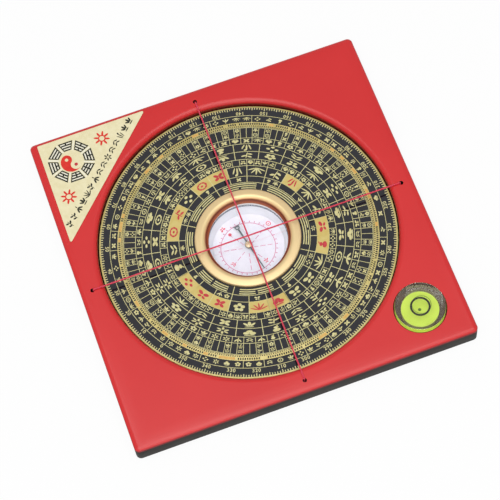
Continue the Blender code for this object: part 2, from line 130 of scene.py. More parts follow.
FLOOR_SIDE = 6.0
FLOOR_GAP = 0.05 * MM
FLOOR_GLOW = 0.93
floor_mesh = bpy.data.meshes.new("floor")
bm = bmesh.new()
bmesh.ops.create_grid(bm, x_segments=1, y_segments=1, size=FLOOR_SIDE / 2)
bm.to_mesh(floor_mesh)
bm.free()
floor = add_object("floor", floor_mesh)
floor.location.z = -FLOOR_GAP
sweep = bpy.data.materials.new("white_paper_sweep")
sweep.use_nodes = True
tree = sweep.node_tree
paper = tree.nodes["Principled BSDF"]
paper.inputs["Base Color"].default_value = linear("F4F4F4")
paper.inputs["Roughness"].default_value = 0.9
glow = add_node(tree, "ShaderNodeEmission", inputs={"Color": (1, 1, 1, 1), "Strength": 1.0})
share = add_node(tree, "ShaderNodeMath", {"operation": "MULTIPLY"}, {0: seen_directly(tree), 1: FLOOR_GLOW})
blend_surface(tree, share.outputs[0], paper.outputs[0], glow.outputs[0])
floor_mesh.materials.append(sweep)


def add_lamp(name, bearing, elevation, distance, size, power):
    """A square lamp that faces the board. The bearing is in degrees clockwise from +Y."""
    data = bpy.data.lights.new(name, "AREA")
    data.shape = "SQUARE"
    data.size = size
    data.energy = power
    turn = Matrix.Rotation(-math.radians(bearing), 4, "Z")
    tilt = Matrix.Rotation(math.radians(elevation - 90), 4, "X")
    add_object(name, data).matrix_world = turn @ tilt @ Matrix.Translation((0, 0, distance))


add_lamp("overhead_box", 200, 78, 0.9, 0.8, 5.3)
add_lamp("front_box", 195, 35, 0.9, 0.35, 0.9)


# The base board is a square of fibreboard, cut with a router, sanded and sprayed black. It has the round
# well that the dial turns in, a push-out hole under the capsule and a small recess for each knot.
BOARD_SIDE = 110 * MM
BOARD_CORNER_R = 1.6 * MM
BOARD_EDGE_R = 0.15 * MM
BOARD_TOP = 6.1 * MM
OVERSPRAY_BOTTOM = 5.2 * MM
WELL_R = 47.15 * MM
WELL_FLOOR = 1.2 * MM
LIP_OUTER_R = 48.9 * MM
LIP_SKIRT = 4.4 * MM
PUSH_HOLE_R = 14.7 * MM
low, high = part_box("level_vial")
LEVEL = ((low[0] + high[0]) / 2, (low[1] + high[1]) / 2)
LEVEL_LINING_R = 8.25 * MM
CROSSING_Y = -0.4 * MM
THREAD_REACH = 51.1 * MM
THREAD_HOLE_R = 0.66 * MM
KNOT_RECESS_R = 1.8 * MM
KNOT_RECESS_DEPTH = 2.6 * MM
THREAD_HOLES = {
    "far": (0, CROSSING_Y + THREAD_REACH),
    "right": (THREAD_REACH, CROSSING_Y),
    "near": (0, CROSSING_Y - THREAD_REACH),
    "left": (-THREAD_REACH, CROSSING_Y),
}
# Where the cutters end, clear of the boards
CUT_TOP = 9 * MM
CUT_BOTTOM = -1 * MM


def piece(name, bm, material, body, sharp=35):
    """A finished piece from a bmesh, smooth but for its sharp edges, that rides on a body."""
    mesh = bpy.data.meshes.new(name)
    bm.to_mesh(mesh)
    bm.free()
    mesh.shade_smooth()
    mesh.set_sharp_from_angle(angle=math.radians(sharp))
    mesh.materials.append(material)
    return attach(add_object(name, mesh), body)


def turned(profile, steps=192, ring=False, centre=(0, 0)):
    """A bmesh turned round an upright axis from (radius, height) pairs. A ring's profile closes on itself."""
    bm = bmesh.new()
    corners = [bm.verts.new((radius, 0, height)) for radius, height in profile]
    edges = [bm.edges.new(pair) for pair in zip(corners, corners[1:])]
    if ring:
        edges.append(bm.edges.new((corners[-1], corners[0])))
    full_turn = 2 * math.pi
    bmesh.ops.spin(
        bm, geom=corners + edges, axis=(0, 0, 1), cent=(0, 0, 0), angle=full_turn, steps=steps, use_merge=True
    )
    bmesh.ops.remove_doubles(bm, verts=bm.verts, dist=0.0005 * MM)
    bmesh.ops.recalc_face_normals(bm, faces=bm.faces)
    bmesh.ops.translate(bm, vec=(*centre, 0), verts=bm.verts)
    return bm


def in_mm(profile):
    """A profile given in millimetres, in metres."""
    return [(radius * MM, height * MM) for radius, height in profile]


def cylinder(radius, bottom, top):
    """The profile of a plain cylinder."""
    return [(0, top), (radius, top), (radius, bottom), (0, bottom)]


def round_edges(bm, width):
    """Rounds every edge of a bmesh that turns by more than 40 degrees."""
    sharp = [e for e in bm.edges if e.is_manifold and e.calc_face_angle() > math.radians(40)]
    bmesh.ops.bevel(
        bm, geom=sharp, offset=width, segments=3, profile=0.5, affect="EDGES", material=-1, clamp_overlap=True
    )


def baked_mesh(thing):
    """A new mesh of an object, with its modifiers applied or its type filled."""
    bpy.context.view_layer.update()
    return bpy.data.meshes.new_from_object(thing.evaluated_get(bpy.context.evaluated_depsgraph_get()))


def carve(target, cutters):
    """Cuts closed bmeshes out of a piece and keeps the result as its mesh."""
    tools = []
    for cutter in cutters:
        mesh = bpy.data.meshes.new("cutter")
        cutter.to_mesh(mesh)
        cutter.free()
        tool = add_object("cutter", mesh)
        tools.append(tool)
        boolean = target.modifiers.new("cut", "BOOLEAN")
        boolean.operation = "DIFFERENCE"
        boolean.solver = "EXACT"
        boolean.object = tool
    cut = baked_mesh(target)
    target.modifiers.clear()
    target.data = cut
    cut.shade_smooth()
    cut.set_sharp_from_angle(angle=math.radians(35))
    for tool in tools:
        bpy.data.objects.remove(tool, do_unlink=True)


def square_block(side, corner_r, bottom, top):
    """A square block with rounded corners."""
    bm = bmesh.new()
    shape = Matrix.Translation((0, 0, (bottom + top) / 2)) @ Matrix.Diagonal((side, side, top - bottom, 1))
    bmesh.ops.create_cube(bm, size=1, matrix=shape)
    upright = [e for e in bm.edges if abs(e.verts[0].co.z - e.verts[1].co.z) > (top - bottom) / 2]
    bmesh.ops.bevel(
        bm, geom=upright, offset=corner_r, segments=10, profile=0.5, affect="EDGES", material=-1
    )
    return bm


def thread_hole_cutters(top):
    """The four thread holes, each with its wide recess below."""
    profile = [
        (0, top + MM),
        (THREAD_HOLE_R, top + MM),
        (THREAD_HOLE_R, KNOT_RECESS_DEPTH),
        (KNOT_RECESS_R, KNOT_RECESS_DEPTH),
        (KNOT_RECESS_R, CUT_BOTTOM),
        (0, CUT_BOTTOM),
    ]
    return [turned(profile, 32, centre=centre) for centre in THREAD_HOLES.values()]


def new_material(name, colour, roughness, **sockets):
    """A material named for its real finish, with its colour, its roughness and what else differs."""
    material = bpy.data.materials.new(name)
    material.use_nodes = True
    shader = material.node_tree.nodes["Principled BSDF"]
    shader.inputs["Base Color"].default_value = linear(colour)
    shader.inputs["Roughness"].default_value = roughness
    for socket, value in sockets.items():
        shader.inputs[socket.replace("_", " ")].default_value = value
    return material, material.node_tree, shader


def speckle(tree, shader, size, colours):
    """Lets a colour drift between two over patches of a real size in metres."""
    coords = add_node(tree, "ShaderNodeTexCoord").outputs["Object"]
    noise = add_node(tree, "ShaderNodeTexNoise", inputs={"Vector": coords, "Scale": 1 / size, "Detail": 3})
    ramp = add_node(tree, "ShaderNodeValToRGB", inputs={"Fac": noise.outputs[0]})
    ramp.color_ramp.elements[0].position = 0.35
    ramp.color_ramp.elements[1].position = 0.65
    ramp.color_ramp.elements[0].color = linear(colours[0])
    ramp.color_ramp.elements[1].color = linear(colours[1])
    tree.links.new(ramp.outputs[0], shader.inputs["Base Color"])


def plain_material(name, colour, roughness, size, colours, specular=0.5):
    """A smooth material whose colour drifts between two over patches of a size in millimetres."""
    material, tree, shader = new_material(name, colour, roughness, Specular_IOR_Level=specular)
    speckle(tree, shader, size * MM, colours)
    return material


def grain(tree, shader, size, height, strength=0.3):
    """A fine relief of a real grain size and height in metres."""
    coords = add_node(tree, "ShaderNodeTexCoord").outputs["Object"]
    noise = add_node(tree, "ShaderNodeTexNoise", inputs={"Vector": coords, "Scale": 1 / size, "Detail": 2})
    relief = {"Height": noise.outputs[0], "Distance": height, "Strength": strength}
    bump = add_node(tree, "ShaderNodeBump", inputs=relief)
    tree.links.new(bump.outputs[0], shader.inputs["Normal"])


def fade_by_height(tree, shader, full, faded, colour):
    """Lets a colour that drifts change into another one between two heights."""
    even = shader.inputs["Base Color"].links[0].from_socket
    coords = add_node(tree, "ShaderNodeTexCoord").outputs["Object"]
    height = add_node(tree, "ShaderNodeSeparateXYZ", inputs={0: coords}).outputs["Z"]
    span = {"Value": height, "From Min": full, "From Max": faded}
    share = add_node(tree, "ShaderNodeMapRange", inputs=span)
    mixed = add_node(
        tree, "ShaderNodeMix", {"data_type": "RGBA"}, {0: share.outputs[0], 6: even, 7: linear(colour)}
    )
    tree.links.new(mixed.outputs[2], shader.inputs["Base Color"])


# Sprayed black paint on sanded fibreboard: nearly matte, with a fine fibre texture. Red overspray from the
# panel's lacquer covers the top of the sides.
black_paint, tree, shader = new_material("black_sprayed_paint", "2E2C29", 0.6, Specular_IOR_Level=0.15)
speckle(tree, shader, 6 * MM, ("2A2825", "33312D"))
fade_by_height(tree, shader, OVERSPRAY_BOTTOM, BOARD_TOP, "963438")
grain(tree, shader, 0.35 * MM, 0.04 * MM)

bm = square_block(BOARD_SIDE, BOARD_CORNER_R, 0, BOARD_TOP)
round_edges(bm, BOARD_EDGE_R)
base = piece("base_block", bm, black_paint, "board")
well = [
    (0, CUT_TOP),
    (LIP_OUTER_R, CUT_TOP),
    (LIP_OUTER_R, LIP_SKIRT),
    (WELL_R, LIP_SKIRT),
    (WELL_R, WELL_FLOOR),
    (0, WELL_FLOOR),
]
push_hole = cylinder(PUSH_HOLE_R, CUT_BOTTOM, CUT_TOP)
pocket = cylinder(LEVEL_LINING_R, WELL_FLOOR, CUT_TOP)
cutters = [turned(well), turned(push_hole), turned(pocket, 96, centre=LEVEL)]
carve(base, cutters + thread_hole_cutters(BOARD_TOP))
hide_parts("base_board")


# The top panel is a thin board with red lacquer, glued on the block. Its edge falls away in a soft, broad
# shoulder. The lacquer is sprayed and left as it dries, so it is satin, and it coats the well's lip too.
PANEL_BOTTOM = 6.2 * MM
PANEL_TOP = 7.2 * MM
PANEL_CUT_BOTTOM = 5 * MM
# How far in from the side, and how far below the top, the shoulder's rows lie, in millimetres
SHOULDER_OUTER = [(0.0, 0.90), (0.08, 0.76), (0.28, 0.60), (0.60, 0.43), (1.00, 0.29), (1.45, 0.19)]
SHOULDER_INNER = [(1.45, 0.19), (2.1, 0.10), (3.0, 0.045), (4.2, 0.012), (5.6, 0.0)]
LIP_DROP = 1.6 * MM
LIP_GAP = 0.05 * MM
LIP_STEPS = 12


def red_lacquer(name, full, shade_height, colour):
    """Sprayed red lacquer with painted shade: full down to one height, darker towards a lower one."""
    material, tree, shader = new_material(name, "D21D1E", 0.34)
    speckle(tree, shader, 28 * MM, ("D01B1D", "D41F20"))
    fade_by_height(tree, shader, full, shade_height, colour)
    grain(tree, shader, 0.7 * MM, 0.012 * MM, 0.4)
    return material


bm = square_block(BOARD_SIDE, BOARD_CORNER_R, PANEL_BOTTOM, PANEL_TOP - SHOULDER_OUTER[0][1] * MM)
top = [max(bm.faces, key=lambda face: face.calc_center_median().z)]
for rows in (SHOULDER_OUTER, SHOULDER_INNER):
    for (outer, lower), (inner, higher) in zip(rows, rows[1:]):
        step = (inner - outer) * MM
        rise = (lower - higher) * MM
        bmesh.ops.inset_region(bm, faces=top, thickness=step, depth=rise, use_even_offset=True)
    # The rounded corners have shrunk to almost nothing here, so each becomes one point
    reach = BOARD_SIDE / 2 - rows[-1][0] * MM
    for x, y in ((1, 1), (-1, 1), (-1, -1), (1, -1)):
        corner = [v for v in top[0].verts if v.co.x * x > 0 and v.co.y * y > 0]
        point = (x * reach, y * reach, corner[0].co.z)
        bmesh.ops.pointmerge(bm, verts=corner, merge_co=point)
    top = [max(bm.faces, key=lambda face: face.calc_center_median().z)]
# The steep outer part of the shoulder is painted darker, as shade where it faces away from the light
shaded_panel_lacquer = red_lacquer("red_satin_lacquer_shaded_low", 6.6 * MM, 6.3 * MM, "A01A1E")
panel = piece("lacquered_panel", bm, shaded_panel_lacquer, "board")
window = cylinder(LIP_OUTER_R, PANEL_CUT_BOTTOM, CUT_TOP)
pocket = cylinder(LEVEL_LINING_R, PANEL_CUT_BOTTOM, CUT_TOP)
carve(panel, [turned(window, 256), turned(pocket, 96, centre=LEVEL)] + thread_hole_cutters(PANEL_TOP))
weighted = panel.modifiers.new("even_shading", "WEIGHTED_NORMAL")
weighted.keep_sharp = True
weighted.weight = 100
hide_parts("top_panel")

# The lip's section is a quarter of an oval, from the panel's top down to the well's wall
lip = [(LIP_OUTER_R, LIP_SKIRT + LIP_GAP), (LIP_OUTER_R, PANEL_TOP)]
for i in range(1, LIP_STEPS + 1):
    turn = math.radians(90 * i / LIP_STEPS)
    fall = LIP_DROP * (1 - math.cos(turn))
    lip.append((LIP_OUTER_R - (LIP_OUTER_R - WELL_R) * math.sin(turn), PANEL_TOP - fall))
lip.append((WELL_R, LIP_SKIRT + LIP_GAP))
# Down the well's wall the lacquer is painted darker, as the shade inside the well
shaded_lip_lacquer = red_lacquer("lip_lacquer_painted_shade", 6.4 * MM, 5.7 * MM, "6E0E12")
well_lip = piece("well_lip", turned(lip, 256, ring=True), shaded_lip_lacquer, "board")

# The level's hole is drilled after painting, so its wall is bare brown fibreboard with a bead of glue
bare_board = plain_material("bare_brown_fibreboard", "644638", 0.8, 3, ("5C4434", "6E4840"), 0.2)
LINING = in_mm([(0, 1.2), (8.24, 1.2), (8.24, 6.7), (8.0, 6.7), (8.0, 1.27), (0, 1.27)])
lining = piece("level_hole_wall", turned(LINING, 96, centre=LEVEL), bare_board, "board")
# The near-black ring round the top of the level's hole is painted shade, where the gap round the cup is dark
hole_edge_painted_shade = plain_material("dark_hole_edge_painted_shade", "34100C", 0.6, 1, ("2C0C0A", "401610"), 0.2)
RIM = in_mm([(8.0, 6.7), (8.24, 6.7), (8.24, 7.18), (8.06, 7.05), (8.0, 6.95)])
piece("level_hole_rim", turned(RIM, 96, ring=True, centre=LEVEL), hole_edge_painted_shade, "board")
# The thread holes go through both boards, and their walls are painted dark, as the shade inside them
HOLE_WALL = in_mm([(0.62, 2.7), (0.66, 2.7), (0.66, 7.18), (0.62, 7.16)])
for name, centre in THREAD_HOLES.items():
    wall = turned(HOLE_WALL, 32, ring=True, centre=centre)
    piece("thread_hole_wall_" + name, wall, hole_edge_painted_shade, "board")


# The dial turns on the well's floor. Its body is a disc of brown phenolic board. Its face is a gold-coloured
# sheet whose rim is turned down over the disc, with black ink printed on it so that the marks stay gold.
DIAL_R = 46.8 * MM
BORE_R = 14.2 * MM
FACE_TOP = 4.9 * MM
FACE_THICK = 0.2 * MM
FACE_EDGE_R = 0.1 * MM
FACE_RIM_BOTTOM = 3.7 * MM
LAYER = 0.015 * MM


def dress(node, material):
    """Gives one of the solids a material."""
    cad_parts[node].material_slots[0].material = material


phenolic, tree, shader = new_material("brown_phenolic_board", "7A3A1C", 0.35)
speckle(tree, shader, 2 * MM, ("6A3018", "8A4420"))
grain(tree, shader, 0.5 * MM, 0.02 * MM)
dress("dial_disc", phenolic)

gold_sheet, tree, shader = new_material("gold_anodised_sheet", "C6B672", 0.42, Metallic=0.2)
speckle(tree, shader, 3 * MM, ("C0B06A", "CCBC7A"))
grain(tree, shader, 0.12 * MM, 0.004 * MM)

bm = turned(
    [
        (BORE_R, FACE_TOP),
        (DIAL_R, FACE_TOP),
        (DIAL_R, FACE_RIM_BOTTOM),
        (DIAL_R - FACE_THICK, FACE_RIM_BOTTOM),
        (DIAL_R - FACE_THICK, FACE_TOP - FACE_THICK),
        (BORE_R, FACE_TOP - FACE_THICK),
    ],
    256,
    ring=True,
)
outer_edge = []
for e in bm.edges:
    if all(abs(v.co.z - FACE_TOP) < LAYER and v.co.xy.length > DIAL_R * 0.99 for v in e.verts):
        outer_edge.append(e)
bmesh.ops.bevel(
    bm, geom=outer_edge, offset=FACE_EDGE_R, segments=3, profile=0.5, affect="EDGES", material=-1
)
dial_sheet = piece("dial_sheet", bm, gold_sheet, "dial")
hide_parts("dial_face")


# The dial's print is a set of rings round the bezel. Bearings are in degrees clockwise from +Y, and the
# dial's own zero stands at 236.2. Screen printing gives flat, even colours, so each is a thin film.
ZERO = 236.2
SECTOR = 15
INK_Z = FACE_TOP + LAYER
MARK_Z = FACE_TOP + 2 * LAYER
RED_Z = FACE_TOP + 3 * LAYER
LINE = 0.17 * MM
WIDE_LINE = 0.22 * MM
BOLD_LINE = 0.24 * MM
# Where the rings start and end, from the bezel out. The ink starts under the bezel.
INK_START = 15.5 * MM
SIGNS_START = 16.9 * MM
SIGNS_END = 19.5 * MM
NARROW_END = 21.67 * MM
SECTORS_END = 25.4 * MM
FIVES_END = 27.68 * MM
FIRST_WIDE_END = 30.46 * MM
SECOND_WIDE_END = 33.25 * MM
SIXES_END = 35.33 * MM
THREES_END = 39.03 * MM
BAND_INNER = 39.25 * MM
BAND_OUTER = 41.04 * MM
LODGES_END = 43.4 * MM
TICK_OUTER = 46.25 * MM

# The black ink is glossy, so it mirrors the pale room, and the threads show in it as dark streaks
black_ink = plain_material("glossy_black_screen_ink", "0B0B16", 0.12, 1.5, ("090912", "0F0F1A"))
gold_print = plain_material("gold_print", "D8D094", 0.45, 1, ("D2C888", "DED8A2"), 0.3)
gold_block = plain_material("gold_block_print", "D4BE70", 0.45, 2, ("D0B868", "D8C47A"), 0.3)
red_print = plain_material("red_screen_ink", "C43A42", 0.5, 1, ("BC343C", "CC444A"), 0.3)
amber_print = plain_material("amber_screen_ink", "DCAC5C", 0.5, 1, ("D8A250", "E0B86C"), 0.3)

# Marks that overlap in one film lie a hair apart, so that no two faces share a plane
film_steps = itertools.cycle([0.0006 * MM * i for i in range(1, 13)])


def on_dial(bearing, radius, height, spin=0.0):
    """The place of a mark whose own +Y points away from the dial's middle before its spin."""
    turn = Matrix.Rotation(-math.radians(bearing), 4, "Z")
    return turn @ Matrix.Translation((0, radius, height)) @ Matrix.Rotation(math.radians(spin), 4, "Z")


def ring_film(bm, inner, outer, height, start=0.0, sweep=360.0):
    """A flat ring, or a stretch of one from a bearing through a sweep in degrees."""
    place = Matrix.Rotation(-math.radians(start), 4, "Z")
    ends = [bm.verts.new(place @ Matrix.Translation((0, r, height)).translation) for r in (inner, outer)]
    edge = bm.edges.new(ends)
    steps = max(1, round(sweep / 1.5))
    bmesh.ops.spin(
        bm,
        geom=ends + [edge],
        axis=(0, 0, 1),
        cent=(0, 0, 0),
        angle=-math.radians(sweep),
        steps=steps,
        use_merge=sweep == 360.0,
    )


def bar(bm, place, width, height, x=0.0, y=0.0):
    """A flat bar on a placed mark."""
    own = Matrix.Translation((x, y, next(film_steps)))
    bmesh.ops.create_grid(
        bm, x_segments=1, y_segments=1, size=0.5, matrix=place @ own @ Matrix.Diagonal((width, height, 1, 1))
    )


def petal(bm, place, length, width, x=0.0, y=0.0, turn=0.0, corners=9):
    """A flat oval spot on a placed mark. Its length lies along +X before its turn."""
    own = Matrix.Translation((x, y, next(film_steps))) @ Matrix.Rotation(math.radians(turn), 4, "Z")
    shape = place @ own @ Matrix.Diagonal((length, width, 1, 1))
    bmesh.ops.create_circle(bm, cap_ends=True, radius=0.5, segments=corners, matrix=shape)


def turn_faces_up(bm):
    """Turns over each face of a bmesh that looks down."""
    bm.normal_update()
    down = [face for face in bm.faces if face.normal.z < 0]
    bmesh.ops.reverse_faces(bm, faces=down)


def film(name, bm, material, body):
    """Printed marks as one piece, each face turned upwards."""
    turn_faces_up(bm)
    return piece(name, bm, material, body)


bm = bmesh.new()
ring_film(bm, INK_START, BAND_INNER, INK_Z)
ring_film(bm, BAND_OUTER, TICK_OUTER, INK_Z)
film("dial_ink", bm, black_ink, "dial")

bm = bmesh.new()
for radius in (
    SIGNS_END, NARROW_END, SECTORS_END, FIVES_END, FIRST_WIDE_END,
    SECOND_WIDE_END, SIXES_END, THREES_END, LODGES_END,
):
    ring_film(bm, radius - LINE / 2, radius + LINE / 2, MARK_Z)


def spokes(first, step, count, inner, outer, width=LINE):
    """Gold lines that part a ring into cells."""
    for i in range(count):
        place = on_dial(first + step * i, (inner + outer) / 2, MARK_Z)
        bar(bm, place, width, outer - inner)


EDGE = ZERO + SECTOR / 2
spokes(EDGE, SECTOR, 24, SIGNS_END, NARROW_END, WIDE_LINE)
spokes(EDGE, SECTOR, 24, NARROW_END, SECTORS_END, BOLD_LINE)
spokes(EDGE, 5, 72, SECTORS_END, FIVES_END)
spokes(ZERO, SECTOR, 24, FIVES_END, SECOND_WIDE_END, WIDE_LINE)
spokes(EDGE, 6, 60, SECOND_WIDE_END, SIXES_END)
spokes(EDGE, 3, 120, SIXES_END, THREES_END)
spokes(ZERO + 22.5, 45, 8, SIGNS_START, SIGNS_END, BOLD_LINE)
# The old sky's 28 lodges are unequal, so their ring is parted at these bearings
LODGES = [
    2.9, 21.2, 41.2, 58.5, 65.3, 78.4, 80.7, 110.7, 120.4, 121.4, 137.1, 148.0, 162.9, 174.8,
    192.8, 201.5, 219.8, 235.6, 245.2, 256.2, 262.9, 285.3, 294.4, 312.5, 318.8, 324.5, 340.7, 350.4,
]
for bearing in LODGES:
    spokes(bearing, 0, 1, BAND_OUTER, LODGES_END)
TICK_WIDTH = 0.3 * MM
for degree in range(360):
    length = (1.05 if degree % 10 == 0 else 0.9 if degree % 5 == 0 else 0.68) * MM
    bar(bm, on_dial(ZERO + degree, TICK_OUTER - length / 2, MARK_Z), TICK_WIDTH, length)
film("dial_lines", bm, gold_print, "dial")

# The eight three-line signs, from the all-solid one clockwise. Their lines are solid (1) or broken (0), and
# given from the outermost in.
SIGNS = ["111", "011", "010", "001", "000", "100", "101", "110"]
SIGN_LINES = (18.98, 18.26, 17.54)
SIGN_HALF_WIDTH = 0.17
SIGN_SWEEP = 33.2
SIGN_GAP = 2.4
bm = bmesh.new()
for i, sign in enumerate(SIGNS):
    middle = ZERO - 180 + 45 * i
    first = middle - SIGN_SWEEP / 2
    for solid, radius in zip(sign, SIGN_LINES):
        inner, outer = (radius - SIGN_HALF_WIDTH) * MM, (radius + SIGN_HALF_WIDTH) * MM
        if solid == "1":
            ring_film(bm, inner, outer, MARK_Z, first, SIGN_SWEEP)
        else:
            ring_film(bm, inner, outer, MARK_Z, first, (SIGN_SWEEP - SIGN_GAP) / 2)
            ring_film(bm, inner, outer, MARK_Z, middle + SIGN_GAP / 2, (SIGN_SWEEP - SIGN_GAP) / 2)
film("dial_signs", bm, gold_print, "dial")


# Small plants, clouds and knots fill the cells, each made of oval spots. A spot is (x, y, length, width, turn
# in degrees), as shares of the ornament's box.
def radial(count, reach, length, width, first=0.0, across=0.0):
    """Spots set evenly round the middle of a box, pointing outwards or across."""
    spots = []
    for i in range(count):
        turn = first + 360 * i / count
        x, y = reach * math.cos(math.radians(turn)), reach * math.sin(math.radians(turn))
        spots.append((x, y, length, width, turn + across))
    return spots


BAMBOO = [
    (-0.26, -0.1, 0.66, 0.22, 52),
    (0.0, -0.16, 0.7, 0.2, 92),
    (0.27, -0.08, 0.62, 0.22, 130),
    (0.05, 0.36, 0.36, 0.13, 80),
]
BLOSSOM = radial(5, 0.29, 0.36, 0.34, 90)
PINE = []
for turn in (25, 57, 90, 123, 155):
    x, y = 0.38 * math.cos(math.radians(turn)), 0.46 * math.sin(math.radians(turn)) - 0.42
    PINE.append((x, y, 0.8, 0.13, turn))
TWIG = [
    (0.0, -0.02, 1.0, 0.1, 82),
    (-0.22, 0.26, 0.42, 0.22, 145),
    (0.24, 0.1, 0.44, 0.22, 30),
    (-0.26, -0.18, 0.42, 0.22, 150),
]
QUATREFOIL = radial(4, 0.27, 0.48, 0.3, 45)
CLOUD = [
    (-0.24, -0.06, 0.46, 0.4, 0),
    (0.22, -0.08, 0.5, 0.42, 0),
    (0.0, 0.2, 0.46, 0.36, 0),
    (0.0, -0.36, 0.84, 0.14, 0),
]
WAVES = [(x, y, 0.52, 0.17, turn) for y in (0.2, -0.14) for x, turn in ((-0.22, 35), (0.22, -35))]
SNOW = radial(6, 0.31, 0.4, 0.18, 90)
COIN = radial(8, 0.37, 0.34, 0.17, 0, 90) + [(0, 0, 0.24, 0.24, 0)]
REEDS = [
    (-0.25, -0.08, 0.84, 0.12, 102),
    (0.0, 0.0, 0.96, 0.14, 88),
    (0.26, -0.12, 0.76, 0.12, 74),
    (0.1, 0.38, 0.3, 0.2, 60),
]
MOTH = [
    (-0.25, 0.16, 0.5, 0.34, 145),
    (0.25, 0.16, 0.5, 0.34, 35),
    (-0.18, -0.24, 0.36, 0.24, 215),
    (0.18, -0.24, 0.36, 0.24, 325),
]
GOURD = [(0.0, 0.2, 0.38, 0.34, 0), (0.0, -0.2, 0.58, 0.5, 0), (0.12, 0.44, 0.26, 0.1, 40)]
LOTUS = [
    (0.0, 0.1, 0.66, 0.28, 90),
    (-0.27, 0.0, 0.6, 0.22, 125),
    (0.27, 0.0, 0.6, 0.22, 55),
    (0.0, -0.38, 0.76, 0.14, 0),
]
PEARLS = radial(4, 0.32, 0.3, 0.3)
ORNAMENTS = [
    BAMBOO, BLOSSOM, PINE, TWIG, QUATREFOIL, CLOUD, WAVES, SNOW, COIN, REEDS, MOTH, GOURD, LOTUS, PEARLS,
]
picks = random.Random(24)


def ornament(bm, place, width, height, spots=None):
    """One of the ornaments, stretched to a box of a width and a height in millimetres."""
    box = place @ Matrix.Diagonal((width * MM, height * MM, 1, 1))
    for x, y, length, girth, turn in spots or picks.choice(ORNAMENTS):
        petal(bm, box, length, girth, x, y, turn)


def ornament_ring(bm, first, step, count, radius, size, skip=()):
    """Ornaments of one size, set evenly round a ring, but for the numbers that are skipped."""
    for i in range(count):
        if i not in skip:
            ornament(bm, on_dial(first + step * i, radius * MM, MARK_Z, 180), *size)


bm = bmesh.new()
blocks = bmesh.new()
# The ring of 24: these sectors, counted from the zero, are gold blocks with red marks, and the rest are black
GOLD_SECTORS = {23, 0, 1, 4, 5, 7, 8, 12, 15, 16, 20, 21}
SECTOR_MARKS_R = 23.5 * MM
for i in range(24):
    middle = ZERO + SECTOR * i
    if i in GOLD_SECTORS:
        ring_film(blocks, NARROW_END, SECTORS_END, MARK_Z + next(film_steps), middle - SECTOR / 2, SECTOR)
    else:
        ornament(bm, on_dial(middle, SECTOR_MARKS_R, MARK_Z, 180), 4.0, 3.0)
film("dial_gold_blocks", blocks, gold_block, "dial")
# The narrow ring inside it has one or two marks in every other cell
for i in range(12):
    middle = ZERO + SECTOR * (2 * i + 1)
    offsets = (-3.1, 3.3) if i % 3 == 2 else (0.3,)
    for offset in offsets:
        ornament(bm, on_dial(middle + offset, 20.6 * MM, MARK_Z, 180), 1.9, 1.5)
ornament_ring(bm, EDGE + 2.5, 5, 72, 26.53, (1.8, 1.7), skip=range(1, 72, 6))
ornament_ring(bm, EDGE, SECTOR, 24, 29.1, (4.1, 2.1))
ornament_ring(bm, EDGE, SECTOR, 24, 31.85, (4.3, 2.2))
ornament_ring(bm, EDGE + 3, 6, 60, 34.3, (2.4, 1.6))
for i in range(24):
    for offset in (4.5, 10.5):
        for radius in (38.1, 36.4):
            ornament(bm, on_dial(EDGE + SECTOR * i + offset, radius * MM, MARK_Z, 180), 1.6, 1.5)
# The ring of 28 unequal lodges has a mark for every four or five degrees of each
for low, high in zip(LODGES, LODGES[1:] + [LODGES[0] + 360]):
    count = max(1, min(4, round((high - low) / 4)))
    for k in range(count):
        if high - low > 2:
            place = on_dial(low + (high - low) * (k + 0.5) / count, 42.15 * MM, MARK_Z, 180)
            ornament(bm, place, min(2.0, (high - low) * 0.6), 1.6)
film("dial_ornaments", bm, gold_print, "dial")

bm = bmesh.new()
for i in sorted(GOLD_SECTORS):
    ornament(bm, on_dial(ZERO + SECTOR * i, SECTOR_MARKS_R, RED_Z, 180), 3.9, 2.9)
film("dial_red_marks", bm, red_print, "dial")

# The gold band marks each degree as unlucky, lucky or plain, with black dots, amber stretches or nothing
DOTS_R = 40.38 * MM
AMBER_INNER = 40.0 * MM
AMBER_OUTER = 40.8 * MM
NOTCHES_R = 39.6 * MM
bm = bmesh.new()
amber = bmesh.new()
degree = 0
while degree < 360:
    kind = picks.choice(("dots", "dots", "dots", "amber", "plain"))
    run = picks.randint(2, 4) if kind == "dots" else picks.randint(2, 3) if kind == "amber" else 1
    for i in range(degree, min(degree + run, 360)):
        if kind == "dots":
            petal(bm, on_dial(ZERO + i + 0.5, DOTS_R, MARK_Z), 0.46 * MM, 0.78 * MM)
        elif kind == "amber":
            ring_film(amber, AMBER_INNER, AMBER_OUTER, INK_Z, ZERO + i + 0.04, 0.92)
    degree += run
for i in range(360):
    bar(bm, on_dial(ZERO + i, NOTCHES_R, MARK_Z), 0.34 * MM, 0.36 * MM)
film("band_dots", bm, black_ink, "dial")
film("band_amber", amber, amber_print, "dial")

# The degree numbers stand every ten degrees, with their tops towards the middle
NUMBERS_R = 44.3 * MM
bm = bmesh.new()
for degree in range(0, 360, 10):
    curve = bpy.data.curves.new("number", "FONT")
    curve.body = str(degree)
    curve.size = 1.62 * MM
    curve.space_character = 1.15
    curve.offset = 0.03 * MM
    curve.resolution_u = 3
    curve.align_x = "CENTER"
    curve.align_y = "CENTER"
    lettering = add_object("number", curve)
    number = baked_mesh(lettering)
    number.transform(on_dial(ZERO + degree, NUMBERS_R, MARK_Z, 180))
    bm.from_mesh(number)
    bpy.data.objects.remove(lettering, do_unlink=True)
    bpy.data.curves.remove(curve)
    bpy.data.meshes.remove(number)
film("dial_numbers", bm, gold_print, "dial")


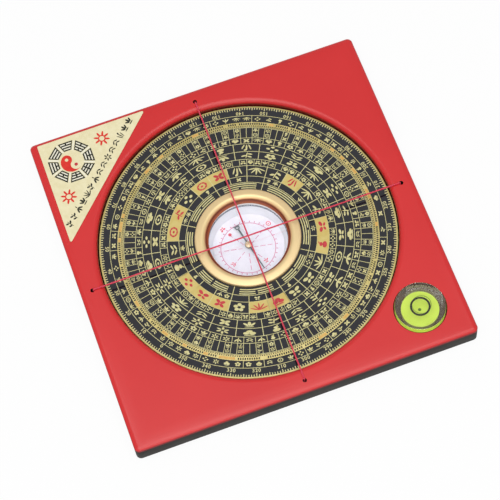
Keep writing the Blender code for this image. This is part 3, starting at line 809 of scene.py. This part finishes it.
# The bezel is a turned brass ring, pressed on the dial's face round the window. It rises steeply from a thin
# inner edge to a crest, and falls gently to a rounded outer edge. Turning leaves it satin. Its colour is
# painted
# in rings: darker at the inner edge as shade, and lighter on the inner slope as a highlight.
BEZEL_PROFILE = in_mm([
    (13.31, 5.0), (13.31, 5.42), (13.36, 5.54), (13.50, 5.70), (13.75, 5.92), (14.00, 6.10),
    (14.25, 6.22), (14.50, 6.28), (14.80, 6.28), (15.20, 6.22), (15.70, 6.13), (16.15, 6.03),
    (16.45, 5.93), (16.62, 5.80), (16.70, 5.60), (16.73, 5.35), (16.73, 5.0),
])


def rings_of_colour(tree, shader, inner, outer, stops):
    """Colours a piece by the distance from the dial's axis. A stop is (share of the way out, colour)."""
    coords = add_node(tree, "ShaderNodeTexCoord").outputs["Object"]
    flat = add_node(tree, "ShaderNodeMapping", inputs={"Vector": coords, "Scale": (1, 1, 0)})
    reach = add_node(tree, "ShaderNodeVectorMath", {"operation": "LENGTH"}, {0: flat.outputs[0]})
    span = {"Value": reach.outputs["Value"], "From Min": inner, "From Max": outer}
    share = add_node(tree, "ShaderNodeMapRange", inputs=span)
    ramp = add_node(tree, "ShaderNodeValToRGB", inputs={"Fac": share.outputs[0]})
    for position, colour in stops[1:-1]:
        ramp.color_ramp.elements.new(position).color = linear(colour)
    ramp.color_ramp.elements[0].color = linear(stops[0][1])
    ramp.color_ramp.elements[-1].color = linear(stops[-1][1])
    tree.links.new(ramp.outputs[0], shader.inputs["Base Color"])


shaded_turned_brass, tree, shader = new_material("turned_satin_brass_painted_light", "DBC191", 0.48, Metallic=0.65)
BEZEL_SHADE_AND_HIGHLIGHT_STOPS = [(0.0, "B87850"), (0.09, "E0BA88"), (0.2, "DFC894"), (0.4, "D5BC8D"), (1.0, "DBC191")]
rings_of_colour(tree, shader, BEZEL_PROFILE[0][0], BEZEL_PROFILE[-1][0], BEZEL_SHADE_AND_HIGHLIGHT_STOPS)
grain(tree, shader, 0.15 * MM, 0.003 * MM)
bezel = piece("bezel", turned(BEZEL_PROFILE, 256, ring=True), shaded_turned_brass, "dial", 50)
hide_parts("bezel_ring")


# The compass capsule is a white moulded dish, cemented into the dial's bore a little off its middle. Brown
# cement has squeezed out inside the bezel, over the lens's edge. A printed card lies on the dish's floor.
low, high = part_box("capsule_cup")
CAPSULE = ((low[0] + high[0]) / 2, (low[1] + high[1]) / 2)
CARD_TOP = 0.95 * MM

white_plastic, tree, shader = new_material("white_moulded_styrene", "EEEAEB", 0.35, Subsurface_Weight=0.1)
speckle(tree, shader, 3 * MM, ("EBE7E8", "F0ECED"))
CUP_PROFILE = in_mm([
    (0, 0.7), (11.3, 0.7), (11.4, 0.8), (12.45, 3.95), (12.8, 3.95), (12.8, 4.76),
    (12.84, 4.8), (13.06, 4.8), (13.1, 4.76), (13.1, 0.3), (0, 0.3),
])
cup = piece("capsule_dish", turned(CUP_PROFILE, 192, centre=CAPSULE), white_plastic, "dial")
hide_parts("capsule_cup")

# The cement's colour is painted darker towards the bezel, as the shade that the bezel casts on it
brown_cement_painted_shade, tree, shader = new_material("brown_cement_painted_shade", "8A4020", 0.4, Specular_IOR_Level=0.25)
CEMENT_SHADE_STOPS = [(0.0, "A8603C"), (0.35, "964826"), (0.7, "783016"), (1.0, "5E200A")]
rings_of_colour(tree, shader, 12.2 * MM, 13.4 * MM, CEMENT_SHADE_STOPS)
grain(tree, shader, 0.4 * MM, 0.03 * MM)
# The bead's loops from the bezel in: radius and height in millimetres, and the share of the capsule's offset
CEMENT_LOOPS = [(13.4, 5.2, 0), (13.1, 5.02, 0.25), (12.8, 4.93, 0.6), (12.5, 4.87, 1), (12.46, 4.81, 1)]
CEMENT_OFFSET = -0.32 * MM
bm = bmesh.new()
loops = []
for radius, height, share in CEMENT_LOOPS:
    place = Matrix.Translation((0, CEMENT_OFFSET * share, height * MM))
    made = bmesh.ops.create_circle(bm, cap_ends=False, radius=radius * MM, segments=128, matrix=place)
    loops.append(list({e for v in made["verts"] for e in v.link_edges}))
for outer, inner in zip(loops, loops[1:]):
    bmesh.ops.bridge_loops(bm, edges=outer + inner)
turn_faces_up(bm)
bead = piece("cement_bead", bm, brown_cement_painted_shade, "dial", 80)

card_paper = plain_material("white_card", "DEDADE", 0.6, 2, ("DCD7DC", "E1DDE1"), 0.2)
dress("compass_card", card_paper)

grey_rubber = plain_material("grey_rubber", "74767E", 0.6, 1, ("70727A", "7A7C84"), 0.2)
GASKET_PROFILE = in_mm([(12.45, 4.05), (12.7, 4.05), (12.7, 4.25), (12.45, 4.25)])
ring = turned(GASKET_PROFILE, 256, ring=True, centre=CAPSULE)
gasket = piece("lens_gasket_ring", ring, grey_rubber, "dial")
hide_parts("lens_gasket")

# The card's print is a pink ring with ticks, eight dashed rays, a red mark at each quarter and one red dot
PRINT_AT = (-0.65 * MM, -1.42 * MM)
CARD_INK_Z = CARD_TOP + LAYER
CARD_ZERO = 11.7
PINK_RING_INNER = 8.53 * MM
PINK_RING_OUTER = 8.74 * MM
TICKS_R = 9.1
# The dashes of a ray, as (radius of the middle, length), and the red marks, as (bearing, radius, spots)
DASHES = ((2.5, 1.3), (4.6, 1.7), (6.9, 1.5))
QUARTER_MARKS = ((57, 10.4, COIN), (328, 10.4, MOTH), (147, 7.3, TWIG), (239, 7.3, WAVES))
pink_print = plain_material("pink_card_ink", "CC6890", 0.55, 1, ("C66088", "D4749A"), 0.2)
rose_print = plain_material("rose_card_ink", "DC4A5E", 0.55, 1, ("D84256", "E2566A"), 0.2)


def on_card(bearing, radius, spin=0.0):
    """The place of a mark on the card, at a radius in millimetres from the print's own middle."""
    return Matrix.Translation((*PRINT_AT, 0)) @ on_dial(bearing, radius * MM, CARD_INK_Z, spin)


bm = bmesh.new()
ring_film(bm, PINK_RING_INNER, PINK_RING_OUTER, CARD_INK_Z)
bmesh.ops.translate(bm, vec=(*PRINT_AT, 0), verts=bm.verts)
for i in range(36):
    bar(bm, on_card(CARD_ZERO + 10 * i, TICKS_R), 0.24 * MM, 0.55 * MM)
for i in range(8):
    for radius, length in DASHES:
        bar(bm, on_card(CARD_ZERO + 45 * i, radius), 0.18 * MM, length * MM)
film("card_ring", bm, pink_print, "dial")
bm = bmesh.new()
for bearing, radius, spots in QUARTER_MARKS:
    ornament(bm, on_card(bearing, radius, 180), 1.9, 1.7, spots)
petal(bm, on_card(328, 7.4), 1.1 * MM, 1.1 * MM, corners=20)
film("card_marks", bm, rose_print, "dial")


# The lens is a clear acrylic disc with polished faces. The lamps' light passes it freely, so it casts no
# shadow on the card.
def clear_plastic(name, colour, ior, bounced=0.0):
    """Clear plastic that bends what is seen through it, and lets a share of bounced light straight on."""
    material, tree, shader = new_material(name, colour, 0.0, Transmission_Weight=1.0, IOR=ior)
    path = add_node(tree, "ShaderNodeLightPath").outputs
    rays = {0: path["Is Diffuse Ray"], 1: bounced, 2: path["Is Shadow Ray"]}
    straight = add_node(tree, "ShaderNodeMath", {"operation": "MULTIPLY_ADD", "use_clamp": True}, rays)
    clear = add_node(tree, "ShaderNodeBsdfTransparent", inputs={"Color": linear(colour)})
    blend_surface(tree, straight.outputs[0], shader.outputs[0], clear.outputs[0])
    return material


lens_acrylic = clear_plastic("clear_lens_acrylic", "FBFCFF", 1.45)
LENS_PROFILE = in_mm([(0, 4.8), (12.64, 4.8), (12.7, 4.74), (12.7, 4.41), (12.64, 4.35), (0, 4.35)])
lens = piece("capsule_lens", turned(LENS_PROFILE, 256, centre=CAPSULE), lens_acrylic, "dial")
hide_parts("compass_lens")


# The needle is a strip of spring steel, blued by heat, with a ring and two barbs at its head. It turns on a
# pointed brass pin, in a turned brass cap that is pressed on its middle.
bar_brass, tree, shader = new_material("polished_bar_brass", "E8CCA4", 0.25, Metallic=0.9)
grain(tree, shader, 0.1 * MM, 0.003 * MM)
dress("needle_cap", bar_brass)
dress("pivot_pin", bar_brass)
blued_steel, tree, shader = new_material("blued_spring_steel", "5A6468", 0.35, Metallic=0.8)
speckle(tree, shader, 1 * MM, ("4C555A", "66706F"))
dress("needle_blade", blued_steel)


# The bullseye level is a clear acrylic cup, filled with yellow-green spirit from below and closed by a plug.
# It has a black ring printed inside its window, with an air bubble under it, and is pressed into its hole.
VIAL_R = 7.85 * MM
VIAL_BOTTOM = 1.3 * MM
VIAL_TOP = 8.8 * MM
VIAL_EDGE_R = 0.3 * MM
SHADING_ROW = 0.35 * MM
SPIRIT_R = 5.85 * MM
SPIRIT_GAP = 0.1 * MM
PLUG_TOP = 4.7 * MM
PLUG_GAP = 0.05 * MM
WINDOW_BOTTOM = 8.0 * MM

vial_acrylic = clear_plastic("clear_vial_acrylic", "FDFFF4", 1.49, 1.0)
# A row on either side of the rounded edge keeps the shading of the flat top and the flat wall true
profile = [(0, VIAL_TOP), (VIAL_R - SHADING_ROW, VIAL_TOP)]
for i in range(9):
    turn = math.radians(90 - 90 * i / 8)
    drop = VIAL_EDGE_R * (1 - math.sin(turn))
    profile.append((VIAL_R - VIAL_EDGE_R * (1 - math.cos(turn)), VIAL_TOP - drop))
profile += [(VIAL_R, VIAL_TOP - SHADING_ROW), (VIAL_R, VIAL_BOTTOM), (0, VIAL_BOTTOM)]
vial = piece("level_cup", turned(profile, 256, centre=LEVEL), vial_acrylic, "board")
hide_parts("level_vial")

# The pale plug under the spirit is given a faint glow of its own, painted light that brightens it
glowing_plug, tree, shader = new_material("plug_with_painted_glow", "E4E698", 0.5)
shader.inputs["Emission Color"].default_value = linear("CCD65E")
shader.inputs["Emission Strength"].default_value = 0.06
speckle(tree, shader, 4 * MM, ("E0E294", "E9EB9E"))
profile = cylinder(SPIRIT_R, VIAL_BOTTOM + PLUG_GAP, PLUG_TOP)
plug = piece("level_plug_top", turned(profile, 96, centre=LEVEL), glowing_plug, "board")
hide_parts("level_plug")

spirit = clear_plastic("dyed_spirit", "F6FFD4", 1.0, 1.0)
profile = cylinder(SPIRIT_R, PLUG_TOP + SPIRIT_GAP, WINDOW_BOTTOM - SPIRIT_GAP)
body = piece("level_spirit", turned(profile, 96, centre=LEVEL), spirit, "board")
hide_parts("level_liquid")

black_line, tree, shader = new_material("black_pad_print", "060803", 0.6, Specular_IOR_Level=0.1)
grain(tree, shader, 0.2 * MM, 0.004 * MM)
profile = in_mm([(2.54, 8.1), (3.14, 8.1), (3.14, 8.04), (2.54, 8.04)])
ring = turned(profile, 96, ring=True, centre=LEVEL)
piece("level_ring", ring, black_line, "board")

# The bubble itself is not built: its edge is a thin dark ring of painted shade under the black ring. A pin
# closes the plug's filling hole
bubble_edge_painted_shade = plain_material("bubble_outline_painted_shade", "7E9A3C", 0.3, 0.8, ("6E8A34", "94AE4C"))
BUBBLE = (LEVEL[0] + 0.6 * MM, LEVEL[1] + 0.5 * MM)
profile = in_mm([(2.84, 7.72), (2.96, 7.8), (3.02, 7.72), (2.92, 7.64)])
edge = piece("bubble_edge", turned(profile, 96, ring=True, centre=BUBBLE), bubble_edge_painted_shade, "board")
filling_pin = plain_material("dark_green_pin", "4C6A1E", 0.5, 0.5, ("44601A", "587626"))
PIN_AT = (LEVEL[0] - 0.2 * MM, LEVEL[1] - 0.1 * MM)
profile = in_mm([(0, 4.78), (0.42, 4.78), (0.5, 4.72), (0.5, 4.6), (0, 4.6)])
piece("plug_pin", turned(profile, 24, centre=PIN_AT), filling_pin, "board")


# The label is a triangle of cream paper, glued on the far left corner. It shows the eight signs round a red
# two-part disc, with plain ornaments beside it.
LABEL_Z = 7.45 * MM
cream_paper, tree, shader = new_material("cream_label_paper", "F0E6BC", 0.7, Specular_IOR_Level=0.2)
speckle(tree, shader, 1.6 * MM, ("ECE2B6", "F3EAC2"))
grain(tree, shader, 0.3 * MM, 0.01 * MM)
dress("label_sticker", cream_paper)

OCTAGON = (-43.78 * MM, 44.57 * MM)
BLACK_Z = LABEL_Z + LAYER
WHITE_Z = LABEL_Z + 2 * LAYER
# The octagon's black wedges, their half widths at either end and the lines of their signs, in millimetres
WEDGE_NEAR, WEDGE_FAR = 4.06, 7.22
HALF_NEAR, HALF_FAR = 1.24, 2.44
WEDGE_SLANT = 0.38
LABEL_LINES = (6.55, 5.64, 4.73)
LABEL_LINE_WIDTH = 0.4
LABEL_LINE_GAP = 0.5
LABEL_MARGIN = 0.36
label_black = plain_material("black_label_ink", "26281F", 0.55, 1, ("20221A", "2E3028"), 0.2)
label_white = plain_material("bare_white_paper", "F6F2DC", 0.7, 1, ("F2EDD4", "FAF7E6"), 0.2)
label_red = plain_material("red_label_ink", "E0362C", 0.55, 2, ("DA322C", "E63E30"), 0.2)


def on_label(bearing, height):
    """The octagon's middle, turned so that +Y points along a bearing."""
    return Matrix.Translation((*OCTAGON, 0)) @ on_dial(bearing, 0, height)


blocks = bmesh.new()
lines = bmesh.new()
for i, sign in enumerate(SIGNS):
    middle = 315 + 45 * i
    place = on_label(middle, BLACK_Z)
    made = bmesh.ops.create_grid(blocks, x_segments=1, y_segments=1, size=1)
    for v in made["verts"]:
        half, y = (HALF_FAR, WEDGE_FAR) if v.co.y > 0 else (HALF_NEAR, WEDGE_NEAR)
        v.co = place @ Matrix.Translation((math.copysign(half, v.co.x) * MM, y * MM, 0)).translation
    place = on_label(middle, WHITE_Z)
    for solid, y in zip(sign, LABEL_LINES):
        width = 2 * (HALF_NEAR + (y - WEDGE_NEAR) * WEDGE_SLANT - LABEL_MARGIN)
        if solid == "1":
            bar(lines, place, width * MM, LABEL_LINE_WIDTH * MM, 0, y * MM)
        else:
            half = (width - LABEL_LINE_GAP) / 2
            for side in (-1, 1):
                offset = side * (LABEL_LINE_GAP / 2 + half / 2) * MM
                bar(lines, place, half * MM, LABEL_LINE_WIDTH * MM, offset, y * MM)
    bar(lines, on_label(middle + 22.5, WHITE_Z), 0.5 * MM, 3.5 * MM, 0, 5.75 * MM)
film("label_blocks", blocks, label_black, "board")
film("label_lines", lines, label_white, "board")

# The disc's red half has its head at the far left, and the paper's cream half has its head at the near right
DISC_R = 3.4 * MM
place = Matrix.Translation((-43.9 * MM, 44.3 * MM, 0)) @ on_dial(315, 0, BLACK_Z)
bm = bmesh.new()
bmesh.ops.create_circle(bm, cap_ends=True, radius=DISC_R, segments=96)
bmesh.ops.bisect_plane(
    bm, geom=bm.verts[:] + bm.edges[:] + bm.faces[:], plane_co=(0, 0, 0), plane_no=(1, 0, 0), clear_outer=True
)
bmesh.ops.transform(bm, matrix=place, verts=bm.verts)
petal(bm, place, DISC_R, DISC_R, y=DISC_R / 2, corners=48)
for x, y in ((-32.2, 48.9), (-48.3, 32.9)):
    corner = Matrix.Translation((x * MM, y * MM, BLACK_Z)) @ Matrix.Rotation(math.radians(45), 4, "Z")
    ornament(bm, corner, 5.2, 5.2, radial(8, 0.33, 0.36, 0.13, 22.5) + radial(8, 0.2, 0.13, 0.09, 0, 90))
film("label_red", bm, label_red, "board")
bm = bmesh.new()
petal(bm, place @ Matrix.Translation((0, 0, LAYER)), DISC_R, DISC_R, y=-DISC_R / 2, corners=48)
petal(bm, place @ Matrix.Translation((0, 0, LAYER)), 1.1 * MM, 1.1 * MM, y=1.75 * MM, corners=24)
film("label_cream_head", bm, cream_paper, "board")
bm = bmesh.new()
petal(bm, place @ Matrix.Translation((0, 0, 2 * LAYER)), 1.15 * MM, 1.15 * MM, y=-1.75 * MM, corners=24)
film("label_red_dot", bm, red_print, "board")
# A row of 15 ornaments runs along the label's long side
bm = bmesh.new()
for k in range(15):
    share = k / 14
    row = Matrix.Translation(((-50.7 + 28.4 * share) * MM, (23.7 + 28.1 * share) * MM, BLACK_Z))
    spots = picks.choice((BAMBOO, PINE, TWIG, WAVES, SNOW, REEDS, LOTUS))
    ornament(bm, row @ Matrix.Rotation(math.radians(45), 4, "Z"), 2.5, 2.7, spots)
film("label_ornaments", bm, label_black, "board")


# Two red nylon threads cross the board to sight by. Each is twisted from three strands, goes down through a
# hole at each end and is knotted in its recess. The one from far to near passes over the other.
THREAD_R = 0.27 * MM
STRAND_R = 0.145 * MM
TWIST = 1.5 * MM
LAID = 7.55 * MM
BEND_R = 0.35 * MM
KNOT_R = 0.9 * MM
KNOT_Z = 1.6 * MM
GOES_DOWN = THREAD_REACH - THREAD_HOLE_R + BEND_R
red_nylon, tree, shader = new_material("twisted_red_nylon", "F23C58", 0.45, Subsurface_Weight=0.2)
speckle(tree, shader, 2 * MM, ("EC3652", "F6445E"))


def thread_route(crest):
    """(distance, height) points of a thread from one knot to the other."""
    half = [(GOES_DOWN, z * MM) for z in (2.4, 3.2, 4.0, 4.8, 5.6, 6.4, 7.0)]
    for degrees in range(0, 90, 15):
        turn = math.radians(degrees)
        half.append((GOES_DOWN - BEND_R * (1 - math.cos(turn)), LAID - BEND_R * (1 - math.sin(turn))))
    steps = 100
    for k in range(steps + 1):
        reach = (GOES_DOWN - BEND_R) * (1 - k / steps)
        half.append((reach, LAID + crest * max(0.0, 1 - reach / WELL_R)))
    return half + [(-reach, height) for reach, height in reversed(half[:-1])]


def twisted_thread(name, direction, crest):
    """Three strands that wind round the thread's route, and a knot at each end."""
    route = thread_route(crest)
    curve = bpy.data.curves.new(name, "CURVE")
    curve.dimensions = "3D"
    curve.bevel_depth = STRAND_R
    curve.bevel_resolution = 1
    curve.use_fill_caps = True
    fine = []
    for (a, low), (b, high) in zip(route, route[1:]):
        count = max(1, math.ceil(math.hypot(b - a, high - low) / (TWIST / 8)))
        fine += [(a + (b - a) * k / count, low + (high - low) * k / count) for k in range(count)]
    fine.append(route[-1])
    for strand in range(3):
        spline = curve.splines.new("POLY")
        spline.points.add(len(fine) - 1)
        travelled = 0.0
        for i, (along, height) in enumerate(fine):
            before = fine[max(i - 1, 0)]
            after = fine[min(i + 1, len(fine) - 1)]
            travelled += math.hypot(along - before[0], height - before[1])
            heading = math.atan2(after[1] - before[1], after[0] - before[0])
            turn = 2 * math.pi * (travelled / TWIST + strand / 3)
            offset = THREAD_R - STRAND_R
            sideways = offset * math.cos(turn)
            upward = offset * math.sin(turn)
            reach = along - upward * math.sin(heading)
            lift = height + upward * math.cos(heading)
            x, y = (reach, sideways) if direction == "x" else (sideways, reach)
            spline.points[i].co = (x, y + CROSSING_Y, lift, 1)
    thread = add_object(name, curve)
    curve.materials.append(red_nylon)
    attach(thread, "board")
    bm = bmesh.new()
    for side in (-1, 1):
        x, y = (side * GOES_DOWN, 0) if direction == "x" else (0, side * GOES_DOWN)
        squat = Matrix.Translation((x, y + CROSSING_Y, KNOT_Z)) @ Matrix.Diagonal((1, 1, 0.9, 1))
        bmesh.ops.create_uvsphere(bm, u_segments=20, v_segments=12, radius=KNOT_R, matrix=squat)
    knots = piece(name + "_knots", bm, red_nylon, "board", 80)
    return thread


for name, direction, crest, node in (
    ("sight_thread_across", "x", 0.0, "thread_ew"),
    ("sight_thread_along", "y", 0.6 * MM, "thread_ns"),
):
    thread = twisted_thread(name, direction, crest)
    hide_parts(node)
